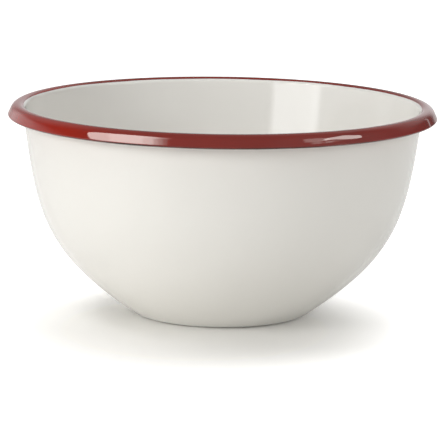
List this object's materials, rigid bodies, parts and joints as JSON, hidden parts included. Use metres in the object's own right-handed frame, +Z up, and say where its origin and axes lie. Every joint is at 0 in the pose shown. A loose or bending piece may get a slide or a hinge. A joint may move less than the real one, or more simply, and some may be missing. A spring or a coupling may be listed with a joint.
{
  "type": "enamelled mixing bowl",
  "caption": "Deep round bowl pressed from sheet steel, enamelled cream white inside and out, with a red enamel band over its rolled rim, for mixing and serving food.",
  "frame": {"origin": "middle of the standing ring, on the surface that the bowl stands on", "axes": "+Z up along the bowl's axis, out of its mouth; the bowl is round, so X and Y are any two level directions, with the pictured front towards -Y"},
  "size_m": [0.24, 0.24, 0.118],
  "materials": {
    "steel": "bare rolled sheet, hidden under the enamel",
    "ground_coat": "dark fired ground enamel, semi-gloss",
    "white_enamel": "cream-white gloss enamel",
    "red_enamel": "deep red gloss enamel"
  },
  "bodies": {
    "root": {"steel_shell": "steel", "inner_ground_coat": "ground_coat", "outer_ground_coat": "ground_coat", "inner_white_enamel": "white_enamel", "outer_white_enamel": "white_enamel", "red_rim_enamel": "red_enamel"}
  },
  "joints": []
}
